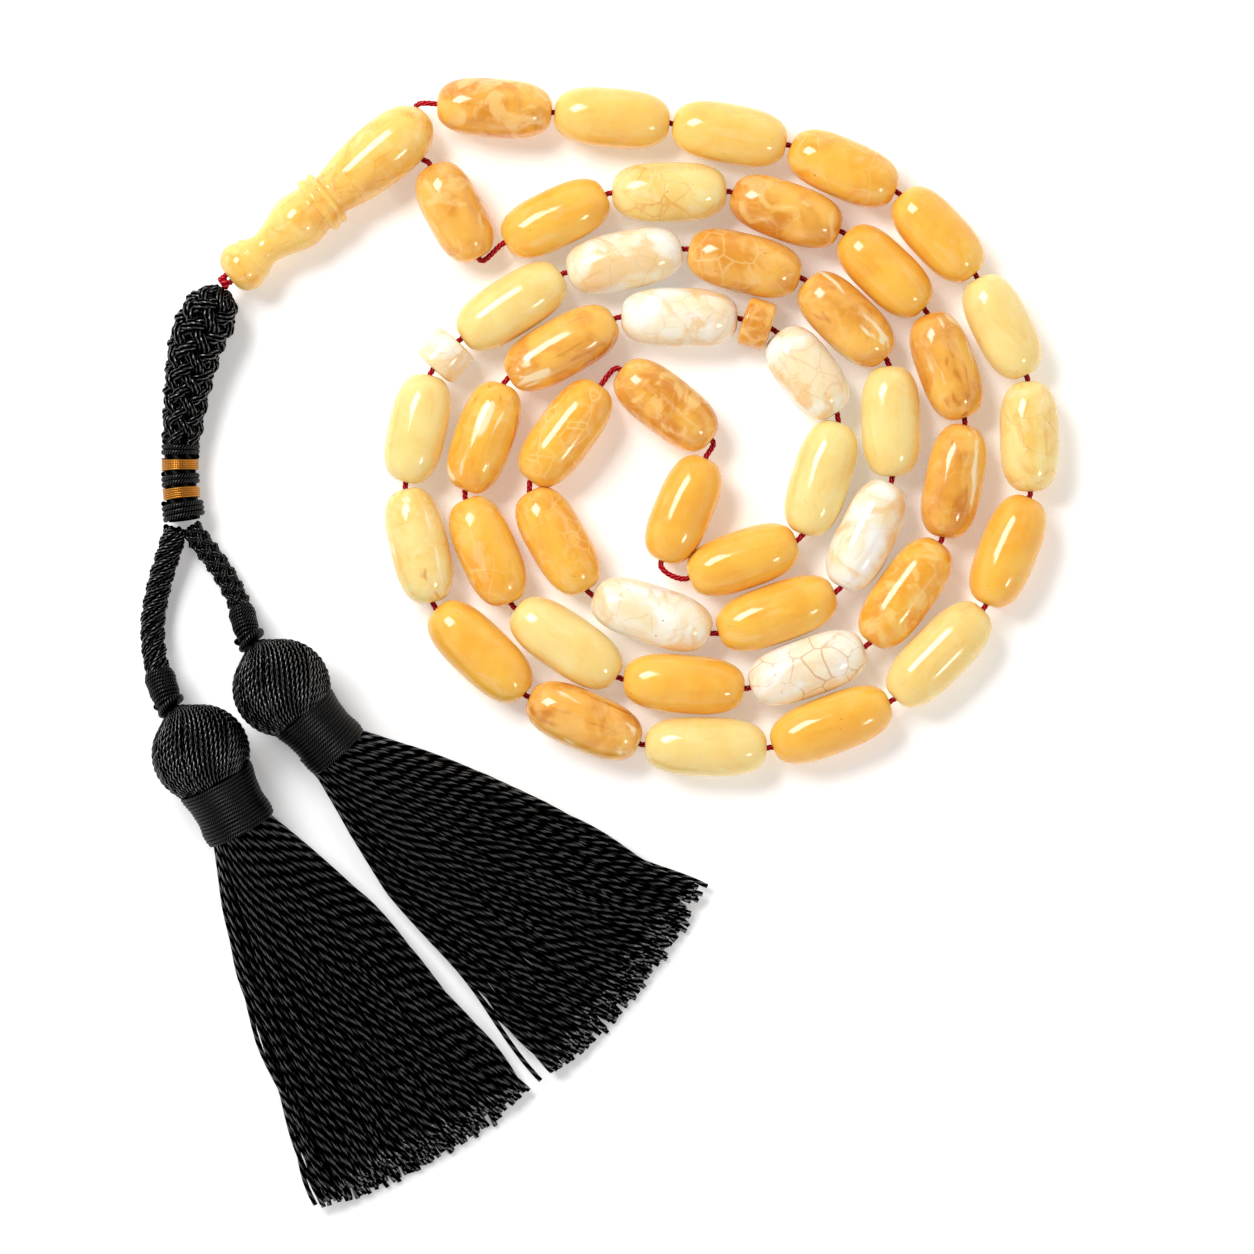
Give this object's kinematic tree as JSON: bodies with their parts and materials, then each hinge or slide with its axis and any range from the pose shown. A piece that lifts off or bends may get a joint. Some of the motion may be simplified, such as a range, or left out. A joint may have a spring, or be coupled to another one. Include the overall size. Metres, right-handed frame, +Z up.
{
  "type": "misbaha prayer beads",
  "caption": "Prayer beads of honey-coloured resin on a red cord, with divider beads, a turned imam bead, a black braided stem with gold bands and black thread tassels.",
  "frame": {"origin": "middle of the base of the bounding box, on the table that the beads and tassels lie on", "axes": "+X to the right across the coil of beads, +Y from the tassels towards the top of the coil, +Z up from the table"},
  "size_m": [0.1388, 0.173, 0.0151],
  "materials": {
    "amber_pale": "gloss",
    "amber_yellow": "gloss",
    "amber_golden": "gloss",
    "amber_brown": "gloss",
    "amber_marbled": "gloss",
    "cord_red": "matte",
    "thread_black": "matte",
    "band_gold": "satin"
  },
  "bodies": {
    "string_and_imam": {"string": "cord_red", "imam": "amber_yellow"},
    "stem": {"stem_braid": "thread_black", "gold_band_upper": "band_gold", "gold_band_lower": "band_gold"},
    "leg_left": {"leg_left": "thread_black"},
    "leg_right": {"leg_right": "thread_black"},
    "tassel_left": {"head_left": "thread_black", "collar_left": "thread_black", "skirt_left": "thread_black"},
    "tassel_right": {"head_right": "thread_black", "collar_right": "thread_black", "skirt_right": "thread_black"},
    "bead_01": {"bead_01": "amber_brown"},
    "bead_02": {"bead_02": "amber_yellow"},
    "bead_03": {"bead_03": "amber_yellow"},
    "bead_04": {"bead_04": "amber_golden"},
    "bead_05": {"bead_05": "amber_golden"},
    "bead_06": {"bead_06": "amber_pale"},
    "bead_07": {"bead_07": "amber_pale"},
    "bead_08": {"bead_08": "amber_golden"},
    "bead_09": {"bead_09": "amber_pale"},
    "bead_10": {"bead_10": "amber_golden"},
    "bead_11": {"bead_11": "amber_pale"},
    "bead_12": {"bead_12": "amber_brown"},
    "bead_13": {"bead_13": "amber_golden"},
    "bead_14": {"bead_14": "amber_pale"},
    "bead_15": {"bead_15": "amber_pale"},
    "divider_1": {"divider_1": "amber_marbled"},
    "bead_16": {"bead_16": "amber_pale"},
    "bead_17": {"bead_17": "amber_marbled"},
    "bead_18": {"bead_18": "amber_brown"},
    "bead_19": {"bead_19": "amber_brown"},
    "bead_20": {"bead_20": "amber_pale"},
    "bead_21": {"bead_21": "amber_marbled"},
    "bead_22": {"bead_22": "amber_golden"},
    "bead_23": {"bead_23": "amber_marbled"},
    "bead_24": {"bead_24": "amber_golden"},
    "bead_25": {"bead_25": "amber_golden"},
    "bead_26": {"bead_26": "amber_brown"},
    "bead_27": {"bead_27": "amber_golden"},
    "bead_28": {"bead_28": "amber_golden"},
    "bead_29": {"bead_29": "amber_pale"},
    "bead_30": {"bead_30": "amber_marbled"},
    "divider_2": {"divider_2": "amber_brown"},
    "bead_31": {"bead_31": "amber_marbled"},
    "bead_32": {"bead_32": "amber_brown"},
    "bead_33": {"bead_33": "amber_golden"},
    "bead_34": {"bead_34": "amber_golden"},
    "bead_35": {"bead_35": "amber_pale"},
    "bead_36": {"bead_36": "amber_golden"},
    "bead_37": {"bead_37": "amber_marbled"},
    "bead_38": {"bead_38": "amber_golden"},
    "bead_39": {"bead_39": "amber_brown"},
    "bead_40": {"bead_40": "amber_brown"},
    "bead_41": {"bead_41": "amber_golden"},
    "bead_42": {"bead_42": "amber_brown"},
    "bead_43": {"bead_43": "amber_pale"},
    "bead_44": {"bead_44": "amber_golden"},
    "bead_45": {"bead_45": "amber_brown"}
  },
  "joints": [
    {"name": "braid_swing", "type": "hinge", "parent": "string_and_imam", "child": "stem", "pos_m": [-0.05961, 0.05029, 0.00468], "axis": [0, 0, 1], "range_deg": [-12, 2]},
    {"name": "fork_left_swing", "type": "hinge", "parent": "stem", "child": "leg_left", "pos_m": [-0.06528, 0.01584, 0.0033], "axis": [0, 0, 1], "range_deg": [-12, 0]},
    {"name": "fork_right_swing", "type": "hinge", "parent": "stem", "child": "leg_right", "pos_m": [-0.06119, 0.01654, 0.0031], "axis": [0, 0, 1], "range_deg": [0, 2]},
    {"name": "neck_left_swing", "type": "hinge", "parent": "leg_left", "child": "tassel_left", "pos_m": [-0.06578, -0.00766, 0.0055], "axis": [0, 0, 1], "range_deg": [-10, 0]},
    {"name": "neck_right_swing", "type": "hinge", "parent": "leg_right", "child": "tassel_right", "pos_m": [-0.05359, 0.00224, 0.0055], "axis": [0, 0, 1], "range_deg": [0, 2]},
    {"name": "slide_bead_01", "type": "slide", "parent": "string_and_imam", "child": "bead_01", "axis": [0.9973, -0.0738, 0], "range_m": [-0.0013, 0]},
    {"name": "spin_bead_02", "type": "hinge", "parent": "string_and_imam", "child": "bead_02", "pos_m": [0.00163, 0.08042, 0.0045], "axis": [0.9959, -0.0904, 0], "continuous": true},
    {"name": "spin_bead_03", "type": "hinge", "parent": "string_and_imam", "child": "bead_03", "pos_m": [0.01946, 0.07796, 0.0045], "axis": [0.9832, -0.1823, 0], "continuous": true},
    {"name": "spin_bead_04", "type": "hinge", "parent": "string_and_imam", "child": "bead_04", "pos_m": [0.03668, 0.07273, 0.0045], "axis": [0.918, -0.3965, 0], "continuous": true},
    {"name": "spin_bead_05", "type": "hinge", "parent": "string_and_imam", "child": "bead_05", "pos_m": [0.05102, 0.06274, 0.0045], "axis": [0.683, -0.7304, 0], "continuous": true},
    {"name": "spin_bead_06", "type": "hinge", "parent": "string_and_imam", "child": "bead_06", "pos_m": [0.06078, 0.04874, 0.0045], "axis": [0.4493, -0.8934, 0], "continuous": true},
    {"name": "spin_bead_07", "type": "hinge", "parent": "string_and_imam", "child": "bead_07", "pos_m": [0.06492, 0.03208, 0.0045], "axis": [0.0236, -0.9997, 0], "continuous": true},
    {"name": "spin_bead_08", "type": "hinge", "parent": "string_and_imam", "child": "bead_08", "pos_m": [0.06166, 0.01469, 0.0045], "axis": [-0.3753, -0.9269, 0], "continuous": true},
    {"name": "spin_bead_09", "type": "hinge", "parent": "string_and_imam", "child": "bead_09", "pos_m": [0.05119, -0.00093, 0.0045], "axis": [-0.7036, -0.7106, 0], "continuous": true},
    {"name": "spin_bead_10", "type": "hinge", "parent": "string_and_imam", "child": "bead_10", "pos_m": [0.03486, -0.0116, 0.0045], "axis": [-0.9333, -0.3591, 0], "continuous": true},
    {"name": "spin_bead_11", "type": "hinge", "parent": "string_and_imam", "child": "bead_11", "pos_m": [0.01585, -0.01495, 0.0045], "axis": [-0.9997, 0.0242, 0], "continuous": true},
    {"name": "spin_bead_12", "type": "hinge", "parent": "string_and_imam", "child": "bead_12", "pos_m": [-0.00259, -0.01102, 0.0045], "axis": [-0.9215, 0.3885, 0], "continuous": true},
    {"name": "spin_bead_13", "type": "hinge", "parent": "string_and_imam", "child": "bead_13", "pos_m": [-0.01836, -0.00054, 0.0045], "axis": [-0.7187, 0.6953, 0], "continuous": true},
    {"name": "spin_bead_14", "type": "hinge", "parent": "string_and_imam", "child": "bead_14", "pos_m": [-0.02766, 0.01552, 0.0045], "axis": [-0.2311, 0.9729, 0], "continuous": true},
    {"name": "spin_bead_15", "type": "hinge", "parent": "string_and_imam", "child": "bead_15", "pos_m": [-0.02787, 0.03326, 0.0045], "axis": [0.2209, 0.9753, 0], "continuous": true},
    {"name": "spin_divider_1", "type": "hinge", "parent": "string_and_imam", "child": "divider_1", "pos_m": [-0.02364, 0.04443, 0.0042], "axis": [0.6712, 0.7413, 0], "continuous": true},
    {"name": "spin_bead_16", "type": "hinge", "parent": "string_and_imam", "child": "bead_16", "pos_m": [-0.0136, 0.05185, 0.0045], "axis": [0.8423, 0.5391, 0], "continuous": true},
    {"name": "spin_bead_17", "type": "hinge", "parent": "string_and_imam", "child": "bead_17", "pos_m": [0.00351, 0.05878, 0.0045], "axis": [0.9804, 0.197, 0], "continuous": true},
    {"name": "spin_bead_18", "type": "hinge", "parent": "string_and_imam", "child": "bead_18", "pos_m": [0.02168, 0.05838, 0.0045], "axis": [0.9699, -0.2436, 0], "continuous": true},
    {"name": "spin_bead_19", "type": "hinge", "parent": "string_and_imam", "child": "bead_19", "pos_m": [0.03713, 0.04985, 0.0045], "axis": [0.7165, -0.6976, 0], "continuous": true},
    {"name": "spin_bead_20", "type": "hinge", "parent": "string_and_imam", "child": "bead_20", "pos_m": [0.04394, 0.03438, 0.0045], "axis": [0.0283, -0.9996, 0], "continuous": true},
    {"name": "spin_bead_21", "type": "hinge", "parent": "string_and_imam", "child": "bead_21", "pos_m": [0.04019, 0.01713, 0.0045], "axis": [-0.4316, -0.9021, 0], "continuous": true},
    {"name": "spin_bead_22", "type": "hinge", "parent": "string_and_imam", "child": "bead_22", "pos_m": [0.02658, 0.00529, 0.0045], "axis": [-0.9453, -0.3261, 0], "continuous": true},
    {"name": "spin_bead_23", "type": "hinge", "parent": "string_and_imam", "child": "bead_23", "pos_m": [0.00766, 0.00508, 0.0045], "axis": [-0.9522, 0.3054, 0], "continuous": true},
    {"name": "spin_bead_24", "type": "hinge", "parent": "string_and_imam", "child": "bead_24", "pos_m": [-0.00658, 0.01623, 0.0045], "axis": [-0.5022, 0.8648, 0], "continuous": true},
    {"name": "spin_bead_25", "type": "hinge", "parent": "string_and_imam", "child": "bead_25", "pos_m": [-0.00546, 0.0326, 0.0045], "axis": [0.5962, 0.8029, 0], "continuous": true},
    {"name": "spin_bead_26", "type": "hinge", "parent": "string_and_imam", "child": "bead_26", "pos_m": [0.00982, 0.03689, 0.0045], "axis": [0.7903, -0.6128, 0], "continuous": true},
    {"name": "spin_bead_27", "type": "hinge", "parent": "string_and_imam", "child": "bead_27", "pos_m": [0.01246, 0.021, 0.0045], "axis": [-0.3931, -0.9195, 0], "continuous": true},
    {"name": "spin_bead_28", "type": "hinge", "parent": "string_and_imam", "child": "bead_28", "pos_m": [0.02146, 0.01341, 0.0045], "axis": [0.9465, 0.3228, 0], "continuous": true},
    {"name": "spin_bead_29", "type": "hinge", "parent": "string_and_imam", "child": "bead_29", "pos_m": [0.03332, 0.02573, 0.0045], "axis": [0.3004, 0.9538, 0], "continuous": true},
    {"name": "spin_bead_30", "type": "hinge", "parent": "string_and_imam", "child": "bead_30", "pos_m": [0.03126, 0.04176, 0.0045], "axis": [-0.5946, 0.804, 0], "continuous": true},
    {"name": "spin_divider_2", "type": "hinge", "parent": "string_and_imam", "child": "divider_2", "pos_m": [0.02362, 0.04921, 0.0042], "axis": [-0.953, 0.303, 0], "continuous": true},
    {"name": "spin_bead_31", "type": "hinge", "parent": "string_and_imam", "child": "bead_31", "pos_m": [0.01184, 0.05015, 0.0045], "axis": [-0.9999, 0.0132, 0], "continuous": true},
    {"name": "spin_bead_32", "type": "hinge", "parent": "string_and_imam", "child": "bead_32", "pos_m": [-0.00604, 0.04552, 0.0045], "axis": [-0.8728, -0.488, 0], "continuous": true},
    {"name": "spin_bead_33", "type": "hinge", "parent": "string_and_imam", "child": "bead_33", "pos_m": [-0.01778, 0.03197, 0.0045], "axis": [-0.3373, -0.9414, 0], "continuous": true},
    {"name": "spin_bead_34", "type": "hinge", "parent": "string_and_imam", "child": "bead_34", "pos_m": [-0.0172, 0.01468, 0.0045], "axis": [0.4007, -0.9162, 0], "continuous": true},
    {"name": "spin_bead_35", "type": "hinge", "parent": "string_and_imam", "child": "bead_35", "pos_m": [-0.00534, 0.00078, 0.0045], "axis": [0.8298, -0.558, 0], "continuous": true},
    {"name": "spin_bead_36", "type": "hinge", "parent": "string_and_imam", "child": "bead_36", "pos_m": [0.01253, -0.00545, 0.0045], "axis": [0.997, -0.0768, 0], "continuous": true},
    {"name": "spin_bead_37", "type": "hinge", "parent": "string_and_imam", "child": "bead_37", "pos_m": [0.03125, -0.00296, 0.0045], "axis": [0.9419, 0.336, 0], "continuous": true},
    {"name": "spin_bead_38", "type": "hinge", "parent": "string_and_imam", "child": "bead_38", "pos_m": [0.0461, 0.00837, 0.0045], "axis": [0.5748, 0.8183, 0], "continuous": true},
    {"name": "spin_bead_39", "type": "hinge", "parent": "string_and_imam", "child": "bead_39", "pos_m": [0.05347, 0.02531, 0.0045], "axis": [0.1959, 0.9806, 0], "continuous": true},
    {"name": "spin_bead_40", "type": "hinge", "parent": "string_and_imam", "child": "bead_40", "pos_m": [0.05231, 0.04279, 0.0045], "axis": [-0.3342, 0.9425, 0], "continuous": true},
    {"name": "spin_bead_41", "type": "hinge", "parent": "string_and_imam", "child": "bead_41", "pos_m": [0.04299, 0.05716, 0.0045], "axis": [-0.7264, 0.6872, 0], "continuous": true},
    {"name": "spin_bead_42", "type": "hinge", "parent": "string_and_imam", "child": "bead_42", "pos_m": [0.02803, 0.06623, 0.0045], "axis": [-0.9416, 0.3368, 0], "continuous": true},
    {"name": "spin_bead_43", "type": "hinge", "parent": "string_and_imam", "child": "bead_43", "pos_m": [0.01032, 0.06918, 0.0045], "axis": [-0.9999, -0.0132, 0], "continuous": true},
    {"name": "spin_bead_44", "type": "hinge", "parent": "string_and_imam", "child": "bead_44", "pos_m": [-0.00697, 0.06518, 0.0045], "axis": [-0.9021, -0.4314, 0], "continuous": true},
    {"name": "spin_bead_45", "type": "hinge", "parent": "string_and_imam", "child": "bead_45", "pos_m": [-0.02224, 0.06614, 0.0045], "axis": [-0.4623, 0.8867, 0], "continuous": true}
  ]
}
